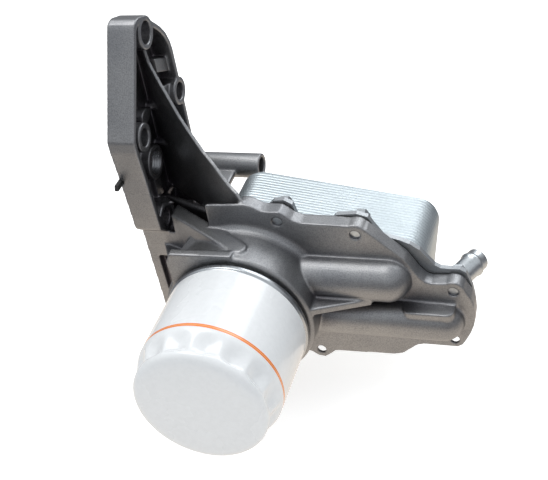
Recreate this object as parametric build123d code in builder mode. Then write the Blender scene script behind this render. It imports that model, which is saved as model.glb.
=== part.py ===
import math
import os
from build123d import *

os.makedirs("parts", exist_ok=True)

# Frame: X leaves the engine face, Y runs towards the cooler, Z is up. Millimetres.
# The origin is the axis of the near middle mounting bore on the engine face.

# Mounting bracket
bracket_depth = 17.3
rim_wall = 3.4
pocket_floor = 4.5
bolt_hole_r = 5.5
bolt_boss_r = 8.8
top_hole_r = 6.75
top_boss_r = 9.9
bore_top = (32.1, 50.6)
bore_far = (57.8, -2.9)
bore_low = (1.2, -57.7)
bore_mid = (0.0, 0.0)
nut_room = 5.5
pocket_rib_h = 13.0
sleeve_bores = (bore_far, bore_mid)
sleeve_depth = 6.0
sleeve_proud = 2.5
sleeve_r = 6.7
sleeve_press = 0.5

# Threaded port and long hollow boss
port_pos = (17.7, -28.8)
port_floor = 3.4
port_top = 10.75
port_outer_r = 10.8
port_hole_r = 7.25
tube_pos = (58.1, -57.2)
tube_end = 61.6
tube_r = 7.9
tube_hole_r = 5.7
tube_hole_start = 24.0

# Big web from the bracket to the flange, standing upright
web_foot = (pocket_floor, 40.85)
web_along = (0.809, -0.5876)
web_t = 2.3

# Flat-topped rib from the lower boss to the head
rib_top = -52.1
rib_foot = -77.0
rest_rib_r = 2.3
rest_rib_z = -58.6

# Filter head
axis_x = 70.2
axis_z = -98.4
head_face = -41.0
head_r = 45.3
stud_thread_r = 9.9
stud_bore_start = -12.0
ring_inner_r = 23.0
ring_outer_r = 31.0
ring_floor = -19.0

# Cooler flange and the two passages on it
flange_front = -13.8
flange_back = -4.0
flange_wall = 2.4
lug_cut_r = 6.5
oil_y = -16.0
oil_z = -82.0
oil_r = 13.0
oil_end = 156.0
coolant_y = -15.0
coolant_z = -111.0
coolant_r = 12.0
coolant_end = 186.0
passage_start = axis_x
shelf_x = (163.5, 193.5)
shelf_front = -24.4
shelf_z = -99.3
oil_slot = (98.0, 17.0)
oil_slot_pos = (115.0, oil_z)
return_slot = (26.0, 12.0)
return_slot_pos = (56.0, -114.0)
coolant_slot = (72.0, 15.0)
coolant_slot_pos = (158.0, coolant_z)
outlet_pos = (184.0, -103.5)
outlet_r = 7.5
slot_depth = 13.0
return_depth = 8.0
gasket_margin = 1.5
gasket_edge = 0.6
gasket_t = 0.8
plate_t = 3.2
plate_front = flange_back + gasket_t
plate_back = plate_front + plate_t
screw_holes = [(93.6, -46.4), (138.8, -53.2), (192.2, -90.5)]
blind_holes = [(42.8, -88.0), (51.5, -132.5)]
open_holes = [(191.1, -126.7), (107.7, -143.5)]
screw_r = 3.0
plate_hole_r = 3.3
open_hole_r = 2.75

# Cooler core, turned slightly inside the flange
core_turn = 8.8
core_u = (62.4, 185.8)
core_v = (-111.2, -39.8)
core_corner = 14.0
core_layers = 17
core_top = 42.0
end_plate_t = 2.0


def at_x(x):
    return Plane(origin=(x, 0, 0), x_dir=(0, 1, 0), z_dir=(1, 0, 0))


def at_y(y):
    return Plane(origin=(0, y, 0), x_dir=(1, 0, 0), z_dir=(0, -1, 0))


def at_z(z):
    return Plane(origin=(0, 0, z), x_dir=(1, 0, 0), z_dir=(0, 0, 1))


# Rubber seal of the engine face
seal_groove = 1.8
seal_proud = 0.6


def oil_way(a, b, r):
    d = Vector(*b) - Vector(*a)
    return Solid.make_cylinder(r, d.length, Plane(origin=a, z_dir=d))


def seal_shape():
    with BuildSketch(Plane.XY) as shape:
        with BuildLine():
            Polyline((12.0, -69.0), (46.0, -69.0), (43.0, -126.5), (11.0, -126.5), close=True)
        make_face()
        with BuildLine():
            Polyline((15.0, -72.0), (42.8, -72.0), (40.2, -123.5), (14.0, -123.5), close=True)
        make_face(mode=Mode.SUBTRACT)
        with BuildLine():
            Polyline((12.0, -70.0), (12.0, -42.0), (2.0, -25.4), (-19.6, -25.0), (-18.4, -22.0), (3.8, -22.4),
                     (15.0, -41.0), (15.0, -70.0), close=True)
        make_face()
    return shape.sketch


bracket_outline = [
    (18.6, 59.4), (20.4, 61.8), (24.0, 63.0), (28.5, 62.2), (33.0, 60.6), (37.5, 58.0), (41.5, 53.8), (51.0, 45.0),
    (56.6, 38.0), (59.8, 30.9), (61.0, 23.6), (61.0, -44.0), (66.0, -57.0),
    (60.0, -68.0), (46.0, -72.0), (44.0, -126.0), (36.0, -134.0), (6.0, -135.5), (1.5, -132.5),
    (-2.2, -66.5), (-9.6, -60.0), (-12.4, -22.0), (-14.6, -1.5), (-14.6, 5.0),
]
flange_outline = [
    (51.0, -36.6), (75.5, -35.1), (79.5, -36.3), (83.9, -38.9), (87.9, -39.6), (95.8, -39.4),
    (99.6, -42.0), (102.8, -44.9), (107.9, -46.4), (137.1, -46.9), (141.7, -47.6), (145.5, -49.4),
    (166.0, -68.7), (172.6, -79.8), (176.3, -84.0), (179.7, -85.2), (191.1, -84.4), (195.5, -85.6),
    (198.7, -88.4), (202.1, -94.6), (203.6, -99.7), (203.8, -107.3), (202.8, -115.1), (200.7, -121.0),
    (197.9, -126.5), (195.6, -130.3), (192.4, -132.4), (173.3, -132.1), (168.4, -133.4), (163.8, -137.2),
    (159.2, -141.0), (154.2, -142.4), (116.4, -143.7), (113.4, -146.6), (109.3, -149.6), (104.9, -148.9),
    (101.8, -146.4), (96.0, -144.5), (70.0, -146.0), (46.0, -139.0), (34.5, -128.0), (34.5, -84.0), (51.0, -66.0),
]
plate_outline = [
    (52.5, -66.5), (56.0, -62.0), (67.5, -60.5), (71.0, -51.5), (84.5, -51.0), (86.2, -42.5), (90.0, -38.8),
    (96.0, -38.2), (100.8, -41.0),
    (102.8, -50.0), (123.5, -50.0), (126.0, -47.2), (138.0, -45.6), (144.5, -47.6), (147.0, -52.5),
    (152.0, -60.5), (161.5, -63.0), (167.1, -65.4), (172.6, -69.4), (176.8, -75.0), (180.5, -79.8),
    (183.8, -81.8), (189.0, -82.0), (194.8, -81.8), (198.3, -84.0), (199.6, -88.0), (201.4, -94.0),
    (202.4, -101.0), (202.4, -108.0), (200.8, -117.0), (197.0, -127.0), (192.0, -131.4), (173.0, -131.2),
    (160.0, -139.0), (153.0, -141.2), (116.0, -142.2), (109.0, -148.6), (104.5, -147.8), (100.0, -142.4),
    (70.0, -142.0), (47.0, -138.6), (39.0, -128.0), (36.6, -96.0), (36.6, -84.0), (40.5, -81.5),
]


# One-piece casting
with BuildPart() as housing:
    # bracket with its open pockets
    with BuildSketch(at_x(0)):
        with BuildLine():
            Polyline(*bracket_outline, close=True)
        make_face()
    extrude(amount=bracket_depth)
    with BuildSketch(at_x(pocket_floor)):
        with BuildLine():
            Polyline((21.4, 57.4), (25.0, 59.2), (35.0, 56.6), (39.4, 51.2), (48.6, 42.8), (53.8, 36.2),
                     (56.8, 29.0), (57.6, 23.0), (57.6, -44.0), (52.0, -49.0), (44.0, -66.0), (41.0, -75.0),
                     (1.6, -75.0), (1.0, -64.0), (-6.4, -57.5), (-9.2, -20.0), (-11.2, -1.0), (-11.2, 4.0),
                     close=True)
        make_face()
    extrude(amount=bracket_depth, mode=Mode.SUBTRACT)
    # the lower end is a thin plate at the side, with the body set back behind it
    with BuildSketch(at_x(6.0)):
        with BuildLine():
            Polyline((-9.0, -87.0), (60.0, -87.0), (60.0, -140.0), (-9.0, -140.0), close=True)
        make_face()
    extrude(amount=bracket_depth, mode=Mode.SUBTRACT)
    with BuildSketch(at_x(pocket_floor)):
        with BuildLine():
            Polyline((10.0, -76.0), (43.0, -76.0), (42.0, -124.0), (35.0, -132.0), (10.0, -130.0), close=True)
        make_face()
    extrude(amount=36.0 - pocket_floor)
    with BuildSketch(at_z(-130.0)):
        with BuildLine():
            Polyline((pocket_floor, 8.0), (12.0, 0.0), (18.0, -12.0), (36.0, -12.0), (36.0, 14.0),
                     (pocket_floor, 14.0), close=True)
        make_face()
    extrude(amount=rib_foot + 130.0)
    # cooler flange
    with BuildSketch(at_y(flange_back)):
        with BuildLine():
            Polyline(*flange_outline, close=True)
        make_face()
    extrude(amount=flange_back - flange_front)
    # filter head
    with BuildSketch(Plane(origin=(axis_x, 0, axis_z), x_dir=(1, 0, 0), z_dir=(0, 0, 1))):
        with BuildLine():
            Polyline((0, flange_back), (0, head_face), (head_r - 1.2, head_face), (head_r, head_face + 1.2),
                     (head_r + 0.6, -19.0), (head_r + 1.4, -16.2), (head_r + 3.4, -14.4), (head_r + 4.4, flange_front),
                     (head_r + 4.4, -12.0), (head_r - 2.0, flange_back), close=True)
        make_face()
    revolve(axis=Axis((axis_x, 0, axis_z), (0, 1, 0)))
    # oil passage and coolant passage, both with a round end
    for end, py, pz, pr in ((oil_end, oil_y, oil_z, oil_r), (coolant_end, coolant_y, coolant_z, coolant_r)):
        with BuildSketch(at_x(passage_start)):
            with Locations((py, pz)):
                Circle(pr)
        extrude(amount=end - passage_start)
        with Locations((end, py, pz)):
            Sphere(radius=pr)
    # flat shelf on the coolant passage
    with BuildSketch(at_z(coolant_z)) as shelf:
        with Locations(((shelf_x[0] + shelf_x[1]) / 2, (flange_back + shelf_front) / 2)):
            Rectangle(shelf_x[1] - shelf_x[0], flange_back - shelf_front)
        fillet(shelf.vertices().group_by(Axis.Y)[0], 5.0)
    extrude(amount=shelf_z - coolant_z)
    # triangular gusset between head and passage
    with BuildSketch(at_z(-93.4)):
        with BuildLine():
            Polyline((104.0, -14.0), (104.0, -39.0), (115.0, -39.0), (147.5, -26.5), (147.5, -14.0), close=True)
        make_face()
    extrude(amount=4.6)
    # wall that carries the flat-topped rib
    with BuildSketch(at_z(-92.0)):
        with BuildLine():
            Polyline((12.0, 14.8), (66.0, -19.8), (66.0, -24.6), (12.0, 10.0), close=True)
        make_face()
    extrude(amount=36.0)
    # everything behind the flange face is planed flat
    with Locations((121.2, flange_back + 20.0, -94.0)):
        Box(169.6, 40.0, 120.0, mode=Mode.SUBTRACT)
    # open pocket behind the front wall of the flange, beside the big web
    with BuildSketch(at_z(-54.0)):
        with BuildLine():
            Polyline((44.0, flange_front + flange_wall), (73.0, flange_front + flange_wall), (70.0, 4.0),
                     (44.0, 4.0), close=True)
        make_face()
    extrude(amount=30.0, mode=Mode.SUBTRACT)
    # screw lobes
    for hx, hz in screw_holes:
        with BuildSketch(at_y(flange_back)):
            with Locations((hx, hz)):
                Circle(7.0)
        extrude(amount=flange_back - flange_front)
    # mounting bosses
    for (by, bz), br in ((bore_top, top_boss_r), (bore_far, bolt_boss_r), (bore_low, bolt_boss_r),
                         (bore_mid, bolt_boss_r)):
        with BuildSketch(at_x(0)):
            with Locations((by, bz)):
                Circle(br)
        extrude(amount=bracket_depth)
    with BuildSketch(at_x(0)):
        with Locations(port_pos):
            Circle(port_outer_r)
    extrude(amount=port_top)
    with BuildSketch(at_x(0)):
        with Locations(tube_pos):
            Circle(tube_r)
    extrude(amount=tube_end)
    # pocket ribs
    with BuildSketch(at_x(0)):
        with BuildLine():
            Polyline((42.0, 18.7), (59.0, 10.5), (59.0, 20.0), (42.0, 28.0), close=True)
        make_face()
        with BuildLine():
            Polyline((42.0, -6.6), (54.0, -9.0), (54.0, 5.0), (42.0, 8.0), close=True)
        make_face()
        with BuildLine():
            Polyline((42.0, -32.5), (58.0, -36.0), (58.0, -32.0), (42.0, -28.5), close=True)
        make_face()
    extrude(amount=pocket_rib_h)
    with BuildSketch(at_x(0)):
        with BuildLine():
            Polyline((13.4, -36.0), (22.0, -36.0), (22.0, -54.0), (13.4, -54.0), close=True)
        make_face()
        with BuildLine():
            Polyline((20.0, 3.4), (36.0, 0.0), (36.0, -2.2), (20.0, 1.0), close=True)
        make_face()
        with BuildLine():
            Polyline((18.0, -56.6), (38.0, -57.2), (40.0, -60.4), (21.0, -61.0), close=True)
        make_face()
    extrude(amount=8.5)
    with BuildSketch(at_x(0)):
        with Locations((34.5, 0.6), (33.8, -25.4)):
            Circle(2.4)
    extrude(amount=12.4)
    with BuildSketch(at_x(0)):
        with Locations((20.0, 2.0)):
            Ellipse(6.4, 4.4)
    extrude(amount=10.5)
    # big web from the bracket to the flange
    with BuildSketch(Plane(origin=(*web_foot, 0), x_dir=(*web_along, 0), z_dir=(web_along[1], -web_along[0], 0))):
        with BuildLine():
            Polyline((-3.0, 41.0), (8.0, 43.0), (10.6, 39.0), (12.6, 30.6), (19.4, 21.1), (26.9, 12.1), (34.3, 2.8),
                     (42.3, -4.7), (53.6, -13.8), (63.1, -19.1), (71.3, -25.2), (77.1, -28.7), (82.5, -30.6),
                     (86.7, -34.4), (86.7, -46.0), (56.0, -60.0), (-3.0, -60.0), close=True)
        make_face()
    extrude(amount=web_t)
    # low rib with a round top that leaves the big web
    with BuildSketch(Plane(origin=(2.0, 25.6, 0), x_dir=(0.378, 0.926, 0), z_dir=(0.926, -0.378, 0))):
        with Locations((0, rest_rib_z)):
            Circle(rest_rib_r)
        with Locations((0, (rest_rib_z + rib_foot) / 2)):
            Rectangle(2 * rest_rib_r, rest_rib_z - rib_foot)
    extrude(amount=50.0)
    # flat-topped rib from the lower boss to the head
    with BuildSketch(at_z(rib_foot)):
        with BuildLine():
            Polyline((3.0, 20.6), (76.5, -26.6), (79.2, -29.0), (79.4, -32.6), (77.0, -35.6), (72.0, -35.6),
                     (26.0, -5.6), (17.0, -2.0), (3.0, 3.6), close=True)
        make_face()
    extrude(amount=rib_top - rib_foot)
    with BuildSketch(at_x(bracket_depth)):
        with Locations(bore_low):
            Circle(bolt_boss_r + 0.3)
    extrude(amount=nut_room, mode=Mode.SUBTRACT)
    # straight-edged plate beside the sealing face of the head
    with BuildSketch(at_y(head_face + 5.4)):
        with BuildLine():
            Polyline((35.0, -52.4), (73.0, -51.6), (73.0, -70.0), (45.0, -100.0), (34.5, -92.0), (32.2, -58.4),
                     close=True)
        make_face()
    extrude(amount=5.4)
    # small web under the long boss
    with BuildSketch(at_z(-60.0)):
        with BuildLine():
            Polyline((3.0, 43.0), (42.0, 14.6), (46.0, 14.6), (46.0, 54.0), (3.0, 54.0), close=True)
        make_face()
    extrude(amount=4.0)
    # bores of the bracket
    for (by, bz), hr in ((bore_top, top_hole_r), (bore_far, bolt_hole_r), (bore_low, bolt_hole_r),
                         (bore_mid, bolt_hole_r)):
        with BuildSketch(at_x(-1.0)):
            with Locations((by, bz)):
                Circle(hr)
        extrude(amount=1.0 + bracket_depth + nut_room, mode=Mode.SUBTRACT)
    with BuildSketch(at_x(port_floor)):
        with Locations(port_pos):
            Circle(port_hole_r)
    extrude(amount=port_top, mode=Mode.SUBTRACT)
    with BuildSketch(at_x(tube_hole_start)):
        with Locations(tube_pos):
            Circle(tube_hole_r)
    extrude(amount=tube_end, mode=Mode.SUBTRACT)
    # ring channel and centre of the filter head
    with BuildSketch(at_y(ring_floor)):
        with Locations((axis_x, axis_z)):
            Circle(ring_outer_r)
            Circle(ring_inner_r, mode=Mode.SUBTRACT)
    extrude(amount=30.0, mode=Mode.SUBTRACT)
    with BuildSketch(at_y(stud_bore_start)):
        with Locations((axis_x, axis_z)):
            Circle(stud_thread_r)
    extrude(amount=40.0, mode=Mode.SUBTRACT)
    # open channels behind the flange
    with BuildSketch(at_y(flange_back + 1.0)):
        with Locations(return_slot_pos):
            SlotOverall(*return_slot)
        with Locations(outlet_pos):
            Circle(outlet_r)
    extrude(amount=1.0 + return_depth, mode=Mode.SUBTRACT)
    with BuildSketch(at_y(flange_back + 1.0)):
        with Locations(oil_slot_pos):
            SlotOverall(*oil_slot)
        with Locations(coolant_slot_pos):
            SlotOverall(*coolant_slot)
    extrude(amount=1.0 + slot_depth, mode=Mode.SUBTRACT)
    # drilled oil ways to the engine face, with round port mouths
    add(oil_way((46.0, -29.5, -92.5), (-1.0, 30.3, -84.0), 4.5), mode=Mode.SUBTRACT)
    add(oil_way((50.0, -8.4, -114.0), (26.0, -8.4, -114.0), 4.2), mode=Mode.SUBTRACT)
    add(oil_way((28.0, -8.4, -114.0), (-1.0, 30.0, -112.0), 4.2), mode=Mode.SUBTRACT)
    with BuildSketch(at_x(-1.0)):
        with Locations((29.0, -84.0), (29.0, -112.0)):
            Circle(8.0)
    extrude(amount=6.0, mode=Mode.SUBTRACT)
    # groove of the rubber seal and seats of the locating sleeves
    with BuildSketch(at_x(0)):
        add(seal_shape())
    extrude(amount=seal_groove, mode=Mode.SUBTRACT)
    for by, bz in sleeve_bores:
        with BuildSketch(at_x(-1.0)):
            with Locations((by, bz)):
                Circle(sleeve_r + sleeve_press)
        extrude(amount=1.0 + sleeve_depth, mode=Mode.SUBTRACT)
    # screw holes
    for hx, hz in screw_holes:
        with BuildSketch(at_y(flange_back + 1.0)):
            with Locations((hx, hz)):
                Circle(screw_r)
        extrude(amount=30.0, mode=Mode.SUBTRACT)
    for hx, hz in blind_holes:
        with BuildSketch(at_y(flange_back + 1.0)):
            with Locations((hx, hz)):
                Circle(screw_r)
        extrude(amount=9.4, mode=Mode.SUBTRACT)
    # the two lugs with open holes are thin, cut free from behind
    for hx, hz in open_holes:
        with BuildSketch(at_y(flange_back + 1.0)):
            with Locations((hx, hz)):
                Circle(lug_cut_r)
            with Locations((hx, hz - lug_cut_r)):
                Rectangle(2 * lug_cut_r, 2 * lug_cut_r)
        extrude(amount=1.0 + flange_back - flange_front - flange_wall, mode=Mode.SUBTRACT)
        with BuildSketch(at_y(flange_back + 1.0)):
            with Locations((hx, hz)):
                Circle(open_hole_r)
        extrude(amount=30.0, mode=Mode.SUBTRACT)
housing.part.label = "housing"
export_step(housing.part, "parts/housing.step")


# Rubber seal laid in the engine face, with a fitting tab that sticks out at the side
with BuildPart() as engine_seal:
    with BuildSketch(at_x(-seal_proud)):
        add(seal_shape())
    extrude(amount=seal_proud + seal_groove)
engine_seal.part.label = "engine_seal"
export_step(engine_seal.part, "parts/engine_seal.step")

# Two equal locating sleeves pressed into mounting bores
with BuildPart() as locating_sleeves:
    for by, bz in sleeve_bores:
        for start, length, radius in ((-sleeve_proud, sleeve_proud, sleeve_r),
                                      (0, sleeve_depth, sleeve_r + sleeve_press)):
            with BuildSketch(at_x(start)):
                with Locations((by, bz)):
                    Circle(radius)
                    Circle(bolt_hole_r, mode=Mode.SUBTRACT)
            extrude(amount=length)
locating_sleeves.part.label = "locating_sleeves"
export_step(locating_sleeves.part, "parts/locating_sleeves.step")

# Gasket between flange and cooler plate
with BuildPart() as flange_gasket:
    with BuildSketch(at_y(plate_front)):
        with BuildLine():
            Polyline(*plate_outline, close=True)
        make_face()
        with BuildLine():
            Polyline(*flange_outline, close=True)
        make_face(mode=Mode.INTERSECT)
        offset(amount=-gasket_edge)
        for (length, width), pos in ((oil_slot, oil_slot_pos), (coolant_slot, coolant_slot_pos),
                                     (return_slot, return_slot_pos)):
            with Locations(pos):
                SlotOverall(length + 2 * gasket_margin, width + 2 * gasket_margin, mode=Mode.SUBTRACT)
        with Locations(outlet_pos):
            Circle(outlet_r + gasket_margin, mode=Mode.SUBTRACT)
        with Locations(*screw_holes, *blind_holes):
            Circle(plate_hole_r, mode=Mode.SUBTRACT)
        with Locations(*open_holes):
            Circle(lug_cut_r, mode=Mode.SUBTRACT)
    extrude(amount=gasket_t)
flange_gasket.part.label = "flange_gasket"
export_step(flange_gasket.part, "parts/flange_gasket.step")

oil_in = (148.0, -82.0)
oil_out = (60.0, -114.0)
coolant_in = (136.0, -111.0)
port_r = 6.0
nipple_root = (183.9, plate_back, -102.0)
nipple_tilt = 25.2
nipple_r = 7.1
nipple_bore_r = 5.6
nipple_len = 36.0
nipple_lean = math.radians(nipple_tilt)
nipple_plane = Plane(origin=nipple_root, x_dir=(0, 0, 1), z_dir=(math.sin(nipple_lean), math.cos(nipple_lean), 0))

# Cooler base plate
with BuildPart() as cooler_base_plate:
    with BuildSketch(at_y(plate_back)):
        with BuildLine():
            Polyline(*plate_outline, close=True)
        make_face()
        with Locations(oil_in, oil_out, coolant_in):
            Circle(port_r, mode=Mode.SUBTRACT)
        with Locations(*screw_holes, *blind_holes):
            Circle(plate_hole_r, mode=Mode.SUBTRACT)
        with Locations(*open_holes):
            Circle(lug_cut_r, mode=Mode.SUBTRACT)
    extrude(amount=plate_t)
    # raised root around the hose pipe
    with BuildSketch(at_y(plate_back + 2.0)):
        with Locations((184.6, -102.0)):
            Ellipse(8.8, 7.4)
    extrude(amount=4.0)
    with BuildSketch(nipple_plane):
        Circle(nipple_r)
    extrude(amount=20.0, both=True, mode=Mode.SUBTRACT)
cooler_base_plate.part.label = "cooler_base_plate"
export_step(cooler_base_plate.part, "parts/cooler_base_plate.step")

# Brazed plate stack of the cooler
core_lean = math.radians(core_turn)
core_plane = Plane(origin=(0, plate_back, 0), x_dir=(math.cos(core_lean), 0, -math.sin(core_lean)), z_dir=(0, -1, 0))
core_mid = ((core_u[0] + core_u[1]) / 2, (core_v[0] + core_v[1]) / 2)
core_size = (core_u[1] - core_u[0], core_v[1] - core_v[0])
layer = core_top / core_layers
with BuildPart() as cooler_core:
    with BuildSketch(core_plane):
        with Locations(core_mid):
            RectangleRounded(core_size[0] - 1.2, core_size[1] - 1.2, core_corner - 0.6)
    extrude(amount=-core_top)
    for i in range(core_layers):
        with BuildSketch(core_plane.offset(-(i * layer + 0.35 * layer))):
            with Locations(core_mid):
                RectangleRounded(core_size[0], core_size[1], core_corner)
        extrude(amount=-layer * 0.65)
    with BuildSketch(at_y(plate_back)):
        with Locations(oil_in, oil_out, coolant_in):
            Circle(port_r)
    extrude(amount=-(core_top - 4.0), mode=Mode.SUBTRACT)
cooler_core.part.label = "cooler_core"
export_step(cooler_core.part, "parts/cooler_core.step")

# Stiffening plate brazed on top of the stack
with BuildPart() as cooler_end_plate:
    with BuildSketch(core_plane.offset(-core_top)):
        with Locations(core_mid):
            RectangleRounded(core_size[0] - 2.4, core_size[1] - 2.4, core_corner - 1.2)
    extrude(amount=-end_plate_t)
    with BuildSketch(core_plane.offset(-core_top - end_plate_t)):
        with Locations((core_u[0] + 22.0, core_mid[1] + 14.0), (core_u[1] - 22.0, core_mid[1] + 14.0)):
            Circle(10.0)
        with Locations((core_u[0] + 22.0, core_mid[1] - 16.0), (core_u[1] - 22.0, core_mid[1] - 16.0)):
            Circle(8.0)
    extrude(amount=-1.0)
cooler_end_plate.part.label = "cooler_end_plate"
export_step(cooler_end_plate.part, "parts/cooler_end_plate.step")

# Five equal flanged screws that hold the cooler
screw_len = 12.0
screw_head_h = 6.6
with BuildPart() as cooler_screws:
    for hx, hz in screw_holes + blind_holes:
        with BuildSketch(at_y(plate_back)):
            with Locations((hx, hz)):
                Circle(screw_r)
        extrude(amount=screw_len)
        with BuildSketch(at_y(plate_back)):
            with Locations((hx, hz)):
                Circle(5.8)
        extrude(amount=-1.3)
        with BuildSketch(at_y(plate_back + 1.3)):
            with Locations((hx, hz)):
                RegularPolygon(radius=4.9, side_count=6)
        extrude(amount=-(screw_head_h - 1.3))
cooler_screws.part.label = "cooler_screws"
export_step(cooler_screws.part, "parts/cooler_screws.step")

# Hose pipe with a retaining bead
with BuildPart() as hose_pipe:
    with BuildSketch(Plane(origin=(0, 0, 0), x_dir=(1, 0, 0), z_dir=(0, -1, 0))):
        with BuildLine():
            Polyline((nipple_bore_r, 0), (nipple_r, 0), (nipple_r, nipple_len - 9.0),
                     (nipple_r + 0.9, nipple_len - 7.6), (nipple_r + 0.9, nipple_len - 6.0),
                     (nipple_r, nipple_len - 4.2), (nipple_r, nipple_len - 0.6), (nipple_r - 0.6, nipple_len),
                     (nipple_bore_r, nipple_len), close=True)
        make_face()
    revolve(axis=Axis.Z)
hose_pipe.part = hose_pipe.part.moved(nipple_plane.location)
hose_pipe.part.label = "hose_pipe"
export_step(hose_pipe.part, "parts/hose_pipe.step")


# Hollow threaded stud that carries the filter
with BuildPart() as filter_stud:
    with BuildSketch(at_y(-18.0)):
        with Locations((axis_x, axis_z)):
            Circle(stud_thread_r)
            Circle(6.6, mode=Mode.SUBTRACT)
    extrude(amount=36.0)
filter_stud.part.label = "filter_stud"
export_step(filter_stud.part, "parts/filter_stud.step")

# Spin-on filter
can_r = 42.3
can_t = 0.9
seam_r = can_r + 0.8
gasket_h = 4.6
gasket_out = can_r - 5.1
gasket_in = gasket_out - 5.4
ring_clear = 0.15
lid_in = gasket_in - 1.0
lid_t = 0.8
lid_rise = 2.4
lid_y = head_face - gasket_h - lid_t
cover_t = 3.2
cover_y = lid_y - cover_t
neck_r = 13.4
neck_h = 5.0
inlet_ring = lid_in - 7.3
inlet_r = 3.6
element_top = -58.0
element_bottom = -98.0
element_r = can_r - 7.3
cap_r = element_r + 0.8
tube_out_r = 14.0
tube_wall = 0.8
cap_t = 1.0
bypass_hole_r = 6.5
turn_clear = 0.05
axis_plane = Plane(origin=(axis_x, 0, axis_z), x_dir=(1, 0, 0), z_dir=(0, 0, 1))
filter_axis = Axis((axis_x, 0, axis_z), (0, 1, 0))

# Rubber gasket that seals on the head
with BuildPart() as filter_gasket:
    with BuildSketch(axis_plane):
        with BuildLine():
            Polyline((gasket_in, head_face - gasket_h), (gasket_in, head_face - 0.6), (gasket_in + 0.6, head_face),
                     (gasket_out - 0.6, head_face), (gasket_out, head_face - 0.6), (gasket_out, head_face - gasket_h),
                     close=True)
        make_face()
    revolve(axis=filter_axis)
filter_gasket.part.label = "filter_gasket"
export_step(filter_gasket.part, "parts/filter_gasket.step")

# Seamed lid ring with the gasket channel
with BuildPart() as filter_lid:
    with BuildSketch(axis_plane):
        with BuildLine():
            Polyline((lid_in, lid_y), (lid_in, lid_y + lid_t + lid_rise),
                     (gasket_in - ring_clear, lid_y + lid_t + lid_rise), (gasket_in - ring_clear, lid_y + lid_t),
                     (gasket_out + ring_clear, lid_y + lid_t), (gasket_out + ring_clear, lid_y + lid_t + lid_rise),
                     (gasket_out + 1.0, lid_y + lid_t + lid_rise), (gasket_out + 1.0, lid_y + lid_t),
                     (seam_r - 2.1, lid_y + lid_t), (seam_r - 2.1, lid_y + 2.6), (seam_r - 1.5, lid_y + 3.4),
                     (seam_r - 0.6, lid_y + 3.4), (seam_r, lid_y + 2.6), (seam_r, lid_y - 0.4),
                     (can_r, lid_y - 1.0), (can_r - can_t, lid_y - 1.0), (can_r - can_t, lid_y), close=True)
        make_face()
    revolve(axis=filter_axis)
filter_lid.part.label = "filter_lid"
export_step(filter_lid.part, "parts/filter_lid.step")

# Threaded cover plate with inlet holes
with BuildPart() as filter_cover:
    with BuildSketch(axis_plane):
        with BuildLine():
            Polyline((stud_thread_r + turn_clear, cover_y - neck_h), (stud_thread_r + turn_clear, lid_y),
                     (can_r - can_t, lid_y), (can_r - can_t, cover_y), (neck_r, cover_y),
                     (neck_r - 0.4, cover_y - neck_h), close=True)
        make_face()
    revolve(axis=filter_axis)
    with BuildSketch(at_y(lid_y + 1.0)):
        with Locations((axis_x, axis_z)):
            with PolarLocations(inlet_ring, 8):
                Circle(inlet_r)
    extrude(amount=cover_t + 2.0, mode=Mode.SUBTRACT)
filter_cover.part.label = "filter_cover"
export_step(filter_cover.part, "parts/filter_cover.step")

# Deep-drawn can with a fluted shoulder for the wrench and a low domed end
can_shoulder = [(can_r, -97.0), (can_r - 0.3, -101.0), (can_r - 1.7, -105.5), (can_r - 3.9, -109.5),
                (can_r - 6.7, -112.6), (can_r - 9.3, -114.0)]
can_dome = [(can_r - 16.3, -114.9), (can_r - 28.3, -115.6)]
can_end = -115.8
flutes = 15
flute_r = 20.0
flute_depth = 1.5
flute_top = (can_r + 0.3, -97.0)
flute_foot = (can_r - 6.3, -113.0)
flute_lean = math.degrees(math.atan2(flute_top[0] - flute_foot[0], flute_top[1] - flute_foot[1]))
flute_out = flute_r * math.cos(math.radians(flute_lean)) + (flute_top[0] + flute_foot[0]) / 2
flute_y = (flute_top[1] + flute_foot[1]) / 2 - flute_r * math.sin(math.radians(flute_lean))
with BuildPart() as filter_can:
    with BuildSketch(axis_plane):
        with BuildLine():
            Polyline((0, lid_y - 1.0), (can_r, lid_y - 1.0), *can_shoulder, *can_dome, (0, can_end), close=True)
        make_face()
    revolve(axis=filter_axis)
    with Locations(Plane(origin=(axis_x, flute_y, axis_z), x_dir=(1, 0, 0), z_dir=(0, -1, 0))):
        with PolarLocations(flute_out, flutes):
            Cylinder(radius=flute_r, height=44.0, rotation=(0, -flute_lean, 0), mode=Mode.SUBTRACT)
    with BuildSketch(axis_plane):
        with BuildLine():
            Polyline((0, lid_y), (can_r - can_t, lid_y), (can_r - can_t, -95.0),
                     *[(r - can_t - flute_depth, y + can_t) for r, y in can_shoulder[1:]],
                     *[(r, y + can_t) for r, y in can_dome], (0, can_end + can_t), close=True)
        make_face()
    revolve(axis=filter_axis, mode=Mode.SUBTRACT)
filter_can.part.label = "filter_can"
export_step(filter_can.part, "parts/filter_can.step")

# Rubber flap disc that keeps the oil in the can
with BuildPart() as anti_drain_flap:
    with BuildSketch(axis_plane):
        with BuildLine():
            Polyline((neck_r + 0.1, cover_y), (element_r - 2.0, cover_y), (element_r - 2.0, cover_y - 1.0),
                     (neck_r + 2.6, cover_y - 1.6), (neck_r + 2.6, element_top + cap_t),
                     (neck_r + 0.1, element_top + cap_t), close=True)
        make_face()
    revolve(axis=filter_axis)
anti_drain_flap.part.label = "anti_drain_flap"
export_step(anti_drain_flap.part, "parts/anti_drain_flap.step")

# Pleated paper of the filter element
pleats = 36
pleat_in = tube_out_r + 0.3


def zigzag(tip, root):
    points = []
    for k in range(2 * pleats):
        r = tip if k % 2 else root
        points.append((r * math.cos(math.pi * k / pleats), r * math.sin(math.pi * k / pleats)))
    return points


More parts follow.
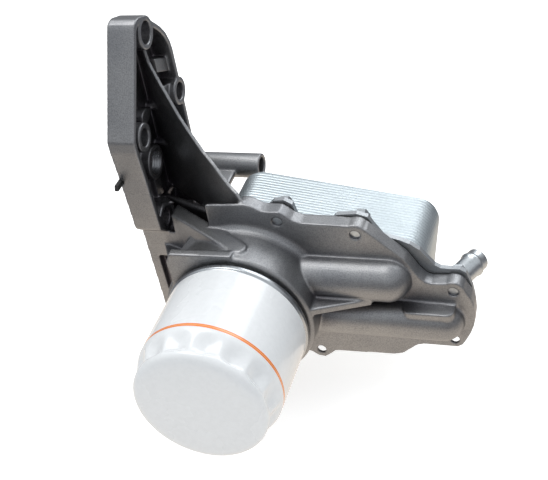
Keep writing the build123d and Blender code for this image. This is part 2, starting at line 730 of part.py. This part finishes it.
with BuildPart() as filter_paper:
    with BuildSketch(Plane(origin=(axis_x, element_top, axis_z), x_dir=(1, 0, 0), z_dir=(0, -1, 0))):
        with BuildLine():
            Polyline(*zigzag(element_r, pleat_in + 1.4), close=True)
        make_face()
        with BuildLine():
            Polyline(*zigzag(element_r - 3.6, pleat_in), close=True)
        make_face(mode=Mode.SUBTRACT)
    extrude(amount=element_top - element_bottom)
filter_paper.part.label = "filter_paper"
export_step(filter_paper.part, "parts/filter_paper.step")

# Perforated support tube inside the paper
with BuildPart() as support_tube:
    with BuildSketch(at_y(element_top)):
        with Locations((axis_x, axis_z)):
            Circle(tube_out_r)
            Circle(tube_out_r - tube_wall, mode=Mode.SUBTRACT)
    extrude(amount=element_top - element_bottom)
    for row in range(3):
        for turn in range(4):
            hole = Location((axis_x, element_top - 9.0 - 11.0 * row, axis_z), (0, 45.0 * turn + 22.5 * (row % 2), 0))
            with Locations(hole):
                Cylinder(radius=2.6, height=40.0, mode=Mode.SUBTRACT)
support_tube.part.label = "support_tube"
export_step(support_tube.part, "parts/support_tube.step")

# End cap at the cover side
with BuildPart() as upper_end_cap:
    with BuildSketch(at_y(element_top + cap_t)):
        with Locations((axis_x, axis_z)):
            Circle(cap_r)
            Circle(tube_out_r - tube_wall, mode=Mode.SUBTRACT)
    extrude(amount=cap_t)
upper_end_cap.part.label = "upper_end_cap"
export_step(upper_end_cap.part, "parts/upper_end_cap.step")

# End cap at the closed end, with the seat of the bypass valve
with BuildPart() as lower_end_cap:
    with BuildSketch(at_y(element_bottom)):
        with Locations((axis_x, axis_z)):
            Circle(cap_r)
            Circle(bypass_hole_r, mode=Mode.SUBTRACT)
    extrude(amount=cap_t)
lower_end_cap.part.label = "lower_end_cap"
export_step(lower_end_cap.part, "parts/lower_end_cap.step")

# Bypass valve disc, its spring and the cage that guides them
disc_t = 1.2
cage_r = 11.0
cage_in_r = 10.2
cage_h = 15.0
with BuildPart() as bypass_disc:
    with BuildSketch(at_y(element_bottom + disc_t)):
        with Locations((axis_x, axis_z)):
            Circle(9.0)
    extrude(amount=disc_t)
    with BuildSketch(at_y(element_bottom + disc_t + 3.0)):
        with Locations((axis_x, axis_z)):
            Circle(4.2)
    extrude(amount=3.0)
bypass_disc.part.label = "bypass_disc"
export_step(bypass_disc.part, "parts/bypass_disc.step")

with BuildPart() as bypass_cage:
    with BuildSketch(at_y(element_bottom + cage_h)):
        with Locations((axis_x, axis_z)):
            Circle(cage_r)
    extrude(amount=cage_h)
    with BuildSketch(at_y(element_bottom + cage_h - 1.0)):
        with Locations((axis_x, axis_z)):
            Circle(cage_in_r)
    extrude(amount=cage_h, mode=Mode.SUBTRACT)
    with BuildSketch(at_y(element_bottom + cage_h + 1.0)):
        with Locations((axis_x, axis_z)):
            Circle(3.4)
    extrude(amount=3.0, mode=Mode.SUBTRACT)
    for turn in range(2):
        with Locations(Location((axis_x, element_bottom + 6.5, axis_z), (0, 90.0 * turn, 0))):
            Box(9.0, 9.0, 30.0, mode=Mode.SUBTRACT)
bypass_cage.part.label = "bypass_cage"
export_step(bypass_cage.part, "parts/bypass_cage.step")

coil_r = 6.2
wire_r = 0.6
coil_turns = 4.0
coil_low = element_bottom + disc_t + wire_r
coil_high = element_bottom + cage_h - 1.0 - wire_r
with BuildPart() as bypass_spring:
    with BuildLine() as coil:
        Helix(pitch=(coil_high - coil_low) / coil_turns, height=coil_high - coil_low, radius=coil_r,
              center=(axis_x, coil_low, axis_z), direction=(0, 1, 0))
    with BuildSketch(Plane(origin=coil.line @ 0, z_dir=coil.line % 0)):
        RegularPolygon(radius=wire_r, side_count=8)
    sweep()
bypass_spring.part.label = "bypass_spring"
export_step(bypass_spring.part, "parts/bypass_spring.step")

# Bent leaf that holds the element up against the cover
leaf_w = 20.0
leaf_t = 0.8
leaf_top = element_bottom - cap_t
leaf_foot = can_end + can_t + 1.7
leaf_reach = element_r - 6.0
leaf_half = [(12.0, leaf_top - leaf_t), (leaf_reach - 6.0, leaf_foot + 0.6), (leaf_reach - 3.0, leaf_foot),
             (leaf_reach, leaf_foot + 1.2), (leaf_reach - 0.4, leaf_foot + 2.0), (leaf_reach - 3.0, leaf_foot + leaf_t),
             (leaf_reach - 5.5, leaf_foot + 1.5), (12.4, leaf_top)]
with BuildPart() as element_spring:
    with BuildSketch(Plane(origin=(axis_x, 0, axis_z - leaf_w / 2), x_dir=(1, 0, 0), z_dir=(0, 0, 1))):
        with BuildLine():
            Polyline(*leaf_half, *[(-x, y) for x, y in reversed(leaf_half)], close=True)
        make_face()
    extrude(amount=leaf_w)
    with BuildSketch(at_y(leaf_top + 1.0)):
        with Locations((axis_x, axis_z)):
            Circle(bypass_hole_r + 1.0)
    extrude(amount=3.0, mode=Mode.SUBTRACT)
element_spring.part.label = "element_spring"
export_step(element_spring.part, "parts/element_spring.step")
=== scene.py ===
import math

import bpy
from mathutils import Matrix, Vector
from mathutils.bvhtree import BVHTree


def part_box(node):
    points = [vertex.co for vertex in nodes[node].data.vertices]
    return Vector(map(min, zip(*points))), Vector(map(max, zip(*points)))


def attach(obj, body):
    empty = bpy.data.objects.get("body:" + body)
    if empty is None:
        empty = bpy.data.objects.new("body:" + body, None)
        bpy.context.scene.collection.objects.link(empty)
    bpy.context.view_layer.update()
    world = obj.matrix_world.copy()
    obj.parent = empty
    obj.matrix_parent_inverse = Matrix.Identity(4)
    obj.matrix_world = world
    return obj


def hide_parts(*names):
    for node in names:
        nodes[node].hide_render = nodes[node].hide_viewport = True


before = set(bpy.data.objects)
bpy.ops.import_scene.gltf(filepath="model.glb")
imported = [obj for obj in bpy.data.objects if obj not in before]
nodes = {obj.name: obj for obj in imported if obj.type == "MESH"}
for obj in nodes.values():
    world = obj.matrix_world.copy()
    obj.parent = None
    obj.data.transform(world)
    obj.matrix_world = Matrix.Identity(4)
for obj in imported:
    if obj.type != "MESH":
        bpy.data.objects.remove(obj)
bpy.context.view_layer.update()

MM = 0.001

# The filter's axis and the top of its lid, read off the frame
stud_low, stud_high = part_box("filter_stud")
axis_x = (stud_low.x + stud_high.x) / 2
axis_z = (stud_low.z + stud_high.z) / 2
lid_low, lid_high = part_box("filter_lid")
lid_top = -lid_high.y / MM


def deselect():
    if bpy.context.object and bpy.context.object.mode != "OBJECT":
        bpy.ops.object.mode_set(mode="OBJECT")
    bpy.ops.object.select_all(action="DESELECT")


def only(piece):
    deselect()
    piece.select_set(True)
    bpy.context.view_layer.objects.active = piece


def apply_modifiers(piece):
    only(piece)
    for modifier in list(piece.modifiers):
        bpy.ops.object.modifier_apply(modifier=modifier.name)


def place(piece, matrix=None):
    """Put the piece's place and turn into its mesh."""
    only(piece)
    if matrix is not None:
        piece.matrix_world = matrix
    bpy.ops.object.transform_apply(location=True, rotation=True, scale=True)


def smooth(piece, angle=35):
    only(piece)
    bpy.ops.object.shade_smooth_by_angle(angle=math.radians(angle))


def finish_piece(piece, name, body, material, stands_for=()):
    piece.name = name
    piece.data.name = name
    piece.data.materials.clear()
    piece.data.materials.append(material)
    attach(piece, body)
    if stands_for:
        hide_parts(*stands_for)
    return piece


# Shader groups and the nodes that the finishes share
def new_group(name, inputs, outputs):
    group = bpy.data.node_groups.new(name, "ShaderNodeTree")
    for label, kind, value in inputs:
        socket = group.interface.new_socket(name=label, in_out="INPUT", socket_type=kind)
        socket.default_value = value
    for label, kind in outputs:
        group.interface.new_socket(name=label, in_out="OUTPUT", socket_type=kind)
    start = group.nodes.new("NodeGroupInput")
    end = group.nodes.new("NodeGroupOutput")
    return group, start, end


def grain_group():
    """Fine and broad noise on object coordinates, as a height and a mask."""
    group, start, end = new_group(
        "grain",
        [("Fine scale", "NodeSocketFloat", 900.0), ("Broad scale", "NodeSocketFloat", 30.0)],
        [("Height", "NodeSocketFloat"), ("Mask", "NodeSocketFloat")],
    )
    place_on = group.nodes.new("ShaderNodeTexCoord")
    fine = group.nodes.new("ShaderNodeTexNoise")
    fine.inputs["Detail"].default_value = 3.0
    fine.inputs["Roughness"].default_value = 0.6
    broad = group.nodes.new("ShaderNodeTexNoise")
    broad.inputs["Detail"].default_value = 4.0
    link = group.links.new
    link(place_on.outputs["Object"], fine.inputs["Vector"])
    link(place_on.outputs["Object"], broad.inputs["Vector"])
    link(start.outputs["Fine scale"], fine.inputs["Scale"])
    link(start.outputs["Broad scale"], broad.inputs["Scale"])
    link(fine.outputs["Fac"], end.inputs["Height"])
    link(broad.outputs["Fac"], end.inputs["Mask"])
    return group


GRAIN = grain_group()


def new_material(name, metallic=0.0, coat=0.0):
    material = bpy.data.materials.new(name)
    material.use_nodes = True
    tree = material.node_tree
    shader = tree.nodes["Principled BSDF"]
    shader.inputs["Metallic"].default_value = metallic
    shader.inputs["Coat Weight"].default_value = coat
    shader.inputs["IOR"].default_value = 1.5
    return material, tree, shader


def add_grain(tree, fine, broad):
    grain = tree.nodes.new("ShaderNodeGroup")
    grain.node_tree = GRAIN
    grain.inputs["Fine scale"].default_value = fine
    grain.inputs["Broad scale"].default_value = broad
    return grain.outputs["Height"], grain.outputs["Mask"]


def ramp(tree, source, low, high):
    """Colour that runs from one to the other, each given as (position, colour)."""
    node = tree.nodes.new("ShaderNodeValToRGB")
    for element, (position, colour) in zip(node.color_ramp.elements, (low, high)):
        element.position = position
        element.color = (*colour, 1)
    tree.links.new(source, node.inputs["Fac"])
    return node.outputs["Color"]


def span(tree, source, low, high):
    """Value from 0 to 1 stretched to run from low to high."""
    node = tree.nodes.new("ShaderNodeMapRange")
    node.inputs["To Min"].default_value = low
    node.inputs["To Max"].default_value = high
    tree.links.new(source, node.inputs["Value"])
    return node.outputs["Result"]


def multiply(tree, colour, shade):
    mix = tree.nodes.new("ShaderNodeMix")
    mix.data_type = "RGBA"
    mix.blend_type = "MULTIPLY"
    mix.inputs["Factor"].default_value = 1.0
    tree.links.new(colour, mix.inputs["A"])
    tree.links.new(shade, mix.inputs["B"])
    return mix.outputs["Result"]


def lay_over(tree, mask, under, colour):
    """A plain colour over what is under it, where the mask is 1."""
    mix = tree.nodes.new("ShaderNodeMix")
    mix.data_type = "RGBA"
    mix.inputs["B"].default_value = (*colour, 1)
    tree.links.new(mask, mix.inputs["Factor"])
    tree.links.new(under, mix.inputs["A"])
    return mix.outputs["Result"]


def speckle(tree, colour, height, shade):
    """Darken the low spots of the grain."""
    return multiply(tree, colour, ramp(tree, height, (0.36, (shade, shade, shade)), (0.6, (1.0, 1.0, 1.0))))


def paint_recess_shade(tree, colour, shade_tint):
    """Painted shade: darken the colour where the mesh's own "open" attribute says that the surface lies deep
    in recesses, where less light reaches.
    """
    attribute = tree.nodes.new("ShaderNodeAttribute")
    attribute.attribute_name = "open"
    return multiply(tree, colour, ramp(tree, attribute.outputs["Fac"], (0.3, shade_tint), (0.8, (1.0, 1.0, 1.0))))


def bump(tree, shader, height, strength, distance):
    node = tree.nodes.new("ShaderNodeBump")
    node.inputs["Strength"].default_value = strength
    node.inputs["Distance"].default_value = distance
    tree.links.new(height, node.inputs["Height"])
    tree.links.new(node.outputs["Normal"], shader.inputs["Normal"])


def plain_finish(name, dark, light, rough, metallic, grain, strength, shade=0.0, recess_shade=None):
    """Two close tones with varied roughness and a fine bump; dark specks, and painted shade in recesses,
    where given.
    """
    material, tree, shader = new_material(name, metallic)
    height, mask = add_grain(tree, *grain)
    colour = ramp(tree, mask, (0.3, dark), (0.7, light))
    if shade:
        colour = speckle(tree, colour, height, shade)
    if recess_shade:
        colour = paint_recess_shade(tree, colour, recess_shade)
    tree.links.new(colour, shader.inputs["Base Color"])
    tree.links.new(span(tree, mask, *rough), shader.inputs["Roughness"])
    bump(tree, shader, height, strength, 0.0003)
    return material


# Finishes: dark and light tone, roughness, metallic, scales of the fine and broad grain, bump
# The casting's last tint is painted shade, laid darker into its recesses by the mesh's openness.
cast_skin = plain_finish("cast_skin", (0.31, 0.315, 0.33), (0.43, 0.43, 0.435), (0.36, 0.48), 0.97,
                         (1500, 28), 0.42, shade=0.72, recess_shade=(0.42, 0.39, 0.42))
bore_skin = plain_finish("machined_thread", (0.45, 0.46, 0.48), (0.6, 0.61, 0.62), (0.22, 0.34), 1.0,
                         (900, 60), 0.1)
plate_skin = plain_finish("plate_skin", (0.42, 0.44, 0.46), (0.50, 0.52, 0.54), (0.42, 0.54), 0.9,
                          (1200, 30), 0.3, shade=0.85)
zinc = plain_finish("zinc_plate", (0.54, 0.57, 0.59), (0.66, 0.69, 0.71), (0.24, 0.36), 1.0,
                    (700, 60), 0.12, shade=0.85)
cooler_skin = plain_finish("brazed_aluminium", (0.56, 0.62, 0.65), (0.64, 0.70, 0.73), (0.34, 0.46), 0.95,
                           (900, 40), 0.2, shade=0.9)
tin = plain_finish("tin_plate", (0.42, 0.44, 0.46), (0.54, 0.56, 0.58), (0.22, 0.32), 1.0, (500, 50), 0.06)
black_rubber = plain_finish("black_rubber", (0.012, 0.012, 0.012), (0.03, 0.03, 0.03), (0.5, 0.7), 0.0,
                            (900, 60), 0.2)
brown_rubber = plain_finish("brown_rubber", (0.16, 0.05, 0.03), (0.24, 0.07, 0.04), (0.5, 0.7), 0.0,
                            (900, 60), 0.2)
paper = plain_finish("pleated_paper", (0.72, 0.58, 0.34), (0.82, 0.70, 0.46), (0.7, 0.9), 0.0,
                     (1200, 80), 0.4)
steel = plain_finish("spring_steel", (0.35, 0.36, 0.37), (0.5, 0.51, 0.52), (0.25, 0.4), 1.0, (600, 50), 0.1)


def can_paint():
    """White enamel with one orange band that has a paler core."""
    band_middle, band_half = -93.6, 1.15
    core_middle, core_half = -93.5, 0.25
    material, tree, shader = new_material("white_enamel", 0.0, 0.6)
    shader.inputs["Coat Roughness"].default_value = 0.06
    height, mask = add_grain(tree, 350, 25)
    link = tree.links.new
    place_on = tree.nodes.new("ShaderNodeTexCoord")
    split = tree.nodes.new("ShaderNodeSeparateXYZ")
    link(place_on.outputs["Object"], split.inputs["Vector"])

    def band(middle, half):
        near = tree.nodes.new("ShaderNodeMath")
        near.operation = "COMPARE"
        near.inputs[1].default_value = middle * MM
        near.inputs[2].default_value = half * MM
        link(split.outputs["Y"], near.inputs[0])
        return near.outputs["Value"]

    white = ramp(tree, mask, (0.2, (0.83, 0.85, 0.865)), (0.8, (0.845, 0.865, 0.88)))
    flecked = speckle(tree, white, height, 0.97)
    banded = lay_over(tree, band(band_middle, band_half), flecked, (0.87, 0.22, 0.045))
    cored = lay_over(tree, band(core_middle, core_half), banded, (0.90, 0.42, 0.16))
    link(cored, shader.inputs["Base Color"])
    link(span(tree, mask, 0.24, 0.30), shader.inputs["Roughness"])
    bump(tree, shader, height, 0.03, 0.0002)
    return material


enamel = can_paint()


# Turned pieces
def turned(name, profile, segments, closed_ring=False):
    """Rings of (radius, distance) walked along Z by extrude and resize, in millimetres."""
    deselect()
    radius, height = profile[0]
    bpy.ops.mesh.primitive_circle_add(vertices=segments, radius=radius * MM, location=(0, 0, height * MM))
    piece = bpy.context.object
    place(piece)
    bpy.ops.object.mode_set(mode="EDIT")
    bpy.ops.mesh.select_all(action="SELECT")
    for radius_next, height_next in profile[1:]:
        step = (0, 0, (height_next - height) * MM)
        bpy.ops.mesh.extrude_region_move(TRANSFORM_OT_translate={"value": step})
        if radius_next == 0:
            bpy.ops.mesh.merge(type="CENTER")
            break
        factor = radius_next / radius
        if factor != 1:
            bpy.ops.transform.resize(value=(factor, factor, 1), center_override=(0, 0, height_next * MM))
        radius, height = radius_next, height_next
    bpy.ops.mesh.select_all(action="SELECT")
    if closed_ring:
        bpy.ops.mesh.remove_doubles(threshold=0.000001)
    bpy.ops.mesh.normals_make_consistent(inside=False)
    bpy.ops.object.mode_set(mode="OBJECT")
    piece.name = name
    return piece


def along_filter():
    """Local Z becomes -Y on the filter's axis."""
    turn = Matrix(((1, 0, 0, 0), (0, 0, -1, 0), (0, 1, 0, 0), (0, 0, 0, 1)))
    return Matrix.Translation((axis_x, 0, axis_z)) @ turn


# Casting
def soften(node, voxel, rounds, triangles):
    """Copy of a CAD node whose edges and inner corners are rounded like a die casting's."""
    piece = nodes[node].copy()
    piece.data = nodes[node].data.copy()
    piece.parent = None
    bpy.context.scene.collection.objects.link(piece)
    only(piece)
    bpy.ops.object.mode_set(mode="EDIT")
    bpy.ops.mesh.select_all(action="SELECT")
    bpy.ops.mesh.remove_doubles(threshold=0.000002)
    bpy.ops.object.mode_set(mode="OBJECT")
    remesh = piece.modifiers.new("remesh", "REMESH")
    remesh.mode = "VOXEL"
    remesh.voxel_size = voxel * MM
    remesh.adaptivity = 0.0
    relax = piece.modifiers.new("relax", "SMOOTH")
    relax.factor = 0.5
    relax.iterations = rounds
    apply_modifiers(piece)
    count = len(piece.data.polygons) * 2
    if count > triangles:
        thin = piece.modifiers.new("thin", "DECIMATE")
        thin.ratio = triangles / count
        apply_modifiers(piece)
    smooth(piece, 60)
    return piece


def measure_openness(piece):
    """Share of the sky that each corner of the mesh sees, kept as the attribute "open", which drives painted
    shade in the casting's colour.
    """
    reach, lift = 45 * MM, 0.4 * MM
    steep, shallow, quarter = 0.75, 1.15, math.pi / 2
    looks = [(0.0, 0.0)]
    looks += [(steep, k * quarter) for k in range(4)]
    looks += [(shallow, (k + 0.5) * quarter) for k in range(4)]
    mesh = piece.data
    solid = BVHTree.FromPolygons([corner.co for corner in mesh.vertices],
                                 [face.vertices for face in mesh.polygons])
    values = []
    for corner in mesh.vertices:
        normal = corner.normal
        side = normal.orthogonal().normalized()
        other = normal.cross(side)
        start = corner.co + normal * lift
        total = 0.0
        for tilt, spin in looks:
            across = side * math.cos(spin) + other * math.sin(spin)
            hit = solid.ray_cast(start, normal * math.cos(tilt) + across * math.sin(tilt), reach)
            total += 1.0 if hit[3] is None else hit[3] / reach
        values.append(total / len(looks))
    attribute = mesh.attributes.new("open", "FLOAT", "POINT")
    attribute.data.foreach_set("value", values)


casting = soften("housing", voxel=0.65, rounds=7, triangles=190000)
# Openness for the painted shade in the casting's recesses
measure_openness(casting)
finish_piece(casting, "die_casting", "housing", cast_skin, ["housing"])


# Cooler
def cooler_layers():
    """Brazed plate stack: a rounded rectangle walked up layer by layer, each edge rounded a little."""
    width, height, corner = 123.4, 71.4, 14.0
    middle_along, middle_up, lean = 124.1, -75.5, math.radians(8.8)
    layers, stack, inset = 17, 42.0, 0.24
    layer = stack / layers
    narrow = (1 - 2 * inset / width, 1 - 2 * inset / height, 1)
    wide = (1 / narrow[0], 1 / narrow[1], 1)
    # Share of a layer's thickness, and the resize at its end
    steps = ((0.14, wide), (0.66, None), (0.14, narrow), (0.06, None))
    deselect()
    bpy.ops.mesh.primitive_plane_add(size=1, location=(0, 0, 0))
    piece = bpy.context.object
    piece.scale = (width * MM, height * MM, 1)
    place(piece)
    bpy.ops.object.mode_set(mode="EDIT")
    bpy.ops.mesh.select_all(action="SELECT")
    bpy.ops.mesh.bevel(offset=corner * MM, segments=12, affect="VERTICES")
    bpy.ops.transform.resize(value=narrow)
    for _ in range(layers):
        for share, size in steps:
            rise = (0, 0, -share * layer * MM)
            bpy.ops.mesh.extrude_region_move(TRANSFORM_OT_translate={"value": rise})
            if size:
                bpy.ops.transform.resize(value=size)
    bpy.ops.mesh.select_all(action="SELECT")
    bpy.ops.mesh.normals_make_consistent(inside=False)
    bpy.ops.object.mode_set(mode="OBJECT")
    along = Vector((math.cos(lean), 0, -math.sin(lean)))
    up = Vector((math.sin(lean), 0, math.cos(lean)))
    turn = Matrix((along, up, Vector((0, -1, 0)))).transposed().to_4x4()
    place(piece, Matrix.Translation((along * middle_along + up * middle_up) * MM) @ turn)
    smooth(piece, 60)
    return finish_piece(piece, "cooler_layers", "housing", cooler_skin, ["cooler_core"])


cooler_layers()


def port_thread():
    """Cut thread of the round port on the bracket."""
    port_y, port_z = 17.7, -28.8
    outer, root, crest = 7.5, 7.2, 6.5
    mouth, pitch, turns = 10.3, 1.5, 4
    profile = [(outer, mouth), (root, mouth)]
    for turn in range(turns):
        profile += [(crest, mouth - (turn + 0.5) * pitch), (root, mouth - (turn + 1) * pitch)]
    profile += [(outer, mouth - turns * pitch), (outer, mouth)]
    piece = turned("port_thread", profile, 96, closed_ring=True)
    to_x = Matrix(((0, 0, 1, 0), (1, 0, 0, 0), (0, 1, 0, 0), (0, 0, 0, 1)))
    place(piece, Matrix.Translation((0, port_y * MM, port_z * MM)) @ to_x)
    smooth(piece, 20)
    return finish_piece(piece, "port_thread", "housing", bore_skin)


port_thread()


# Filter can with fluted shoulder, and its rolled seam
def filter_can():
    wall = [(41.4, 47.4), (42.3, 47.4), (42.3, 60.0), (42.3, 75.0), (42.3, 88.0)]
    waist = [(42.3, 94.0), (42.3, 95.2), (42.15, 96.4), (41.9, 97.6), (41.5, 98.8), (41.1, 100.0),
             (40.7, 101.2), (40.3, 102.4), (39.9, 103.6), (39.5, 104.8), (39.2, 106.0), (39.0, 107.0),
             (38.9, 107.9), (38.9, 108.8), (38.95, 109.6)]
    rim = [(39.0, 110.3), (38.95, 111.0), (38.8, 111.7), (38.5, 112.4), (38.0, 113.1), (37.2, 113.8),
           (36.2, 114.3), (35.0, 114.65), (33.2, 114.95), (31.0, 115.15), (28.0, 115.3), (22.0, 115.5),
           (15.0, 115.65), (7.0, 115.76), (0, 115.8)]
    flutes, first_ridge, depth = 15, math.radians(17), 2.3
    flute_top, flute_deep, flute_foot, flute_end = 95.5, 104.0, 107.0, 111.6
    piece = turned("painted_can", wall + waist + rim, 360)

    def ease(value):
        value = min(max(value, 0), 1)
        return value * value * (3 - 2 * value)

    for vertex in piece.data.vertices:
        height = vertex.co.z / MM
        fade_in = ease((height - flute_top) / (flute_deep - flute_top))
        fade_out = ease((flute_end - height) / (flute_end - flute_foot))
        if fade_in * fade_out > 0:
            turn = (math.atan2(vertex.co.y, vertex.co.x) - first_ridge) * flutes
            groove = (0.5 - 0.5 * math.cos(turn)) ** 0.75
            factor = 1 - depth * MM * (fade_in * fade_out) * groove / math.hypot(vertex.co.x, vertex.co.y)
            vertex.co.x *= factor
            vertex.co.y *= factor
    place(piece, along_filter())
    smooth(piece, 50)
    return finish_piece(piece, "painted_can", "filter", enamel, ["filter_can"])


def filter_seam():
    top = lid_top + 3.4
    gasket_channel = [(30.8, top), (30.8, top - 3.0), (31.1, top - 3.2), (31.4, top - 3.2),
                      (31.65, top - 3.0), (31.65, top - 0.8), (37.35, top - 0.8), (37.35, top - 3.0),
                      (37.6, top - 3.2), (38.0, top - 3.2), (38.3, top - 2.9), (38.6, top - 0.8)]
    roll = [(40.6, top - 0.8), (41.1, top - 1.2), (41.2, top - 2.6), (41.5, top - 3.1), (42.0, top - 3.35),
            (42.6, top - 3.2), (43.0, top - 2.8), (43.1, top - 2.2), (43.1, top - 0.6), (43.0, top - 0.1),
            (42.7, top + 0.3), (42.4, top + 0.6), (42.3, top + 1.0)]
    inside = [(41.4, top + 1.0), (41.4, top), (30.8, top)]
    piece = turned("rolled_seam", gasket_channel + roll + inside, 200, closed_ring=True)
    place(piece, along_filter())
    smooth(piece, 40)
    return finish_piece(piece, "rolled_seam", "filter", tin, ["filter_lid"])


filter_can()
filter_seam()


# Hose pipe
def hose_pipe():
    bore, outer, length = 5.6, 7.1, 36.0
    lean = math.radians(25.2)
    foot_x, foot_z = 183.9, -102.0
    bead = [(outer, length - 9.0), (outer + 0.25, length - 8.5), (outer + 0.75, length - 7.7),
            (outer + 0.9, length - 7.0), (outer + 0.8, length - 6.2), (outer + 0.35, length - 5.2),
            (outer, length - 4.4)]
    mouth = [(outer, length - 0.9), (outer - 0.15, length - 0.35), (outer - 0.5, length),
             (bore + 0.3, length), (bore, length - 0.3)]
    profile = [(bore, 0), (outer, 0)] + bead + mouth + [(bore, 0)]
    piece = turned("hose_pipe_smooth", profile, 72, closed_ring=True)
    along = Vector((math.sin(lean), math.cos(lean), 0))
    side = Vector((0, 0, 1))
    turn = Matrix((side, along.cross(side), along)).transposed().to_4x4()
    place(piece, Matrix.Translation((foot_x * MM, 0, foot_z * MM)) @ turn)
    smooth(piece, 40)
    return finish_piece(piece, "hose_pipe_smooth", "housing", zinc, ["hose_pipe"])


hose_pipe()


def dress(node, material):
    """A CAD node that keeps its own mesh gets its finish."""
    mesh = nodes[node].data
    mesh.materials.clear()
    mesh.materials.append(material)


for node, material in (
    ("engine_seal", black_rubber), ("locating_sleeves", zinc), ("flange_gasket", black_rubber),
    ("cooler_base_plate", plate_skin), ("cooler_end_plate", cooler_skin),
    ("cooler_screws", zinc), ("filter_stud", zinc), ("filter_gasket", black_rubber), ("filter_cover", tin),
    ("anti_drain_flap", brown_rubber), ("filter_paper", paper), ("support_tube", tin), ("upper_end_cap", tin),
    ("lower_end_cap", tin), ("bypass_disc", steel), ("bypass_cage", steel), ("bypass_spring", steel),
    ("element_spring", steel),
):
    dress(node, material)


# Floor, light and camera
floor_z = -0.162
lamp_aim = (0.08, 0, -0.08)


def pale_floor():
    """White to the camera; in what the metal mirrors, a painted warm patch of light that glows near the
    object and is greyer farther off.
    """
    material = bpy.data.materials.new("pale_floor")
    material.use_nodes = True
    tree = material.node_tree
    link = tree.links.new
    shader = tree.nodes["Principled BSDF"]
    shader.inputs["Base Color"].default_value = (0.86, 0.85, 0.84, 1)
    shader.inputs["Roughness"].default_value = 0.9
    shader.inputs["Emission Color"].default_value = (1, 1, 1, 1)
    path = tree.nodes.new("ShaderNodeLightPath")
    lift = tree.nodes.new("ShaderNodeMath")
    lift.operation = "MULTIPLY"
    lift.inputs[1].default_value = 0.6
    link(path.outputs["Is Camera Ray"], lift.inputs[0])
    link(lift.outputs["Value"], shader.inputs["Emission Strength"])
    place_on = tree.nodes.new("ShaderNodeTexCoord")
    away = tree.nodes.new("ShaderNodeVectorMath")
    away.operation = "DISTANCE"
    away.inputs[1].default_value = (0.1, -0.03, floor_z)
    link(place_on.outputs["Object"], away.inputs[0])
    # Painted light: a glowing warm patch near the object, seen only by glossy rays, as painted reflection in
    # the metal
    painted_light_pool = ramp(tree, away.outputs["Value"], (0.17, (1.0, 0.89, 0.77)), (0.33, (0.28, 0.29, 0.31)))
    mirrored = tree.nodes.new("ShaderNodeEmission")
    link(painted_light_pool, mirrored.inputs["Color"])
    mix = tree.nodes.new("ShaderNodeMixShader")
    link(path.outputs["Is Glossy Ray"], mix.inputs["Fac"])
    link(shader.outputs["BSDF"], mix.inputs[1])
    link(mirrored.outputs["Emission"], mix.inputs[2])
    link(mix.outputs["Shader"], tree.nodes["Material Output"].inputs["Surface"])
    return material


def soft_world():
    """White to the camera, even to matt paint; what the metal mirrors is dark low down and bright above."""
    world = bpy.data.worlds.new("studio")
    bpy.context.scene.world = world
    world.use_nodes = True
    tree = world.node_tree
    link = tree.links.new
    place_on = tree.nodes.new("ShaderNodeTexCoord")
    split = tree.nodes.new("ShaderNodeSeparateXYZ")
    link(place_on.outputs["Generated"], split.inputs["Vector"])
    sky = ramp(tree, split.outputs["Z"], (0.08, (0.14, 0.135, 0.145)), (0.62, (0.74, 0.77, 0.80)))
    path = tree.nodes.new("ShaderNodeLightPath")
    mirrored = tree.nodes.new("ShaderNodeMix")
    mirrored.data_type = "RGBA"
    mirrored.inputs["A"].default_value = (0.76, 0.78, 0.80, 1)
    link(path.outputs["Is Glossy Ray"], mirrored.inputs["Factor"])
    link(sky, mirrored.inputs["B"])
    seen = lay_over(tree, path.outputs["Is Camera Ray"], mirrored.outputs["Result"], (1, 1, 1))
    link(seen, tree.nodes["Background"].inputs["Color"])


def lamp(name, place_at, size, power, colour):
    data = bpy.data.lights.new(name, "AREA")
    data.shape = "DISK"
    data.size = size
    data.energy = power
    data.color = colour
    obj = bpy.data.objects.new(name, data)
    bpy.context.scene.collection.objects.link(obj)
    obj.location = place_at
    direction = Vector(lamp_aim) - Vector(place_at)
    obj.rotation_euler = direction.to_track_quat("-Z", "Y").to_euler()


def photo_camera():
    """Camera at the photograph's place and angle."""
    stand = (0.29824, -0.50892, 0.33516)
    focal_px, width_px, sensor = 1149.85, 548, 36
    right = Vector((0.949, 0.278, -0.152)).normalized()
    behind = Vector((0.312, -0.743, 0.592)).normalized()
    behind = (behind - right * behind.dot(right)).normalized()
    turn = Matrix((right, behind.cross(right), behind)).transposed().to_4x4()
    data = bpy.data.cameras.new("camera")
    camera = bpy.data.objects.new("camera", data)
    bpy.context.scene.collection.objects.link(camera)
    camera.matrix_world = Matrix.Translation(stand) @ turn
    data.sensor_width = sensor
    data.lens = sensor * focal_px / width_px
    data.clip_start = 0.01
    bpy.context.scene.camera = camera


def studio():
    deselect()
    bpy.ops.mesh.primitive_plane_add(size=8, location=(0.1, 0, floor_z))
    floor = bpy.context.object
    place(floor)
    floor.name = "floor"
    floor.data.materials.append(pale_floor())
    soft_world()
    lamp("key", (-0.3, 0.1, 1.15), 0.9, 6, (1.0, 0.99, 0.97))
    lamp("back", (0.4, 0.95, 0.7), 0.8, 4, (0.95, 0.98, 1.0))
    photo_camera()
    bpy.context.scene.view_settings.view_transform = "Standard"


studio()
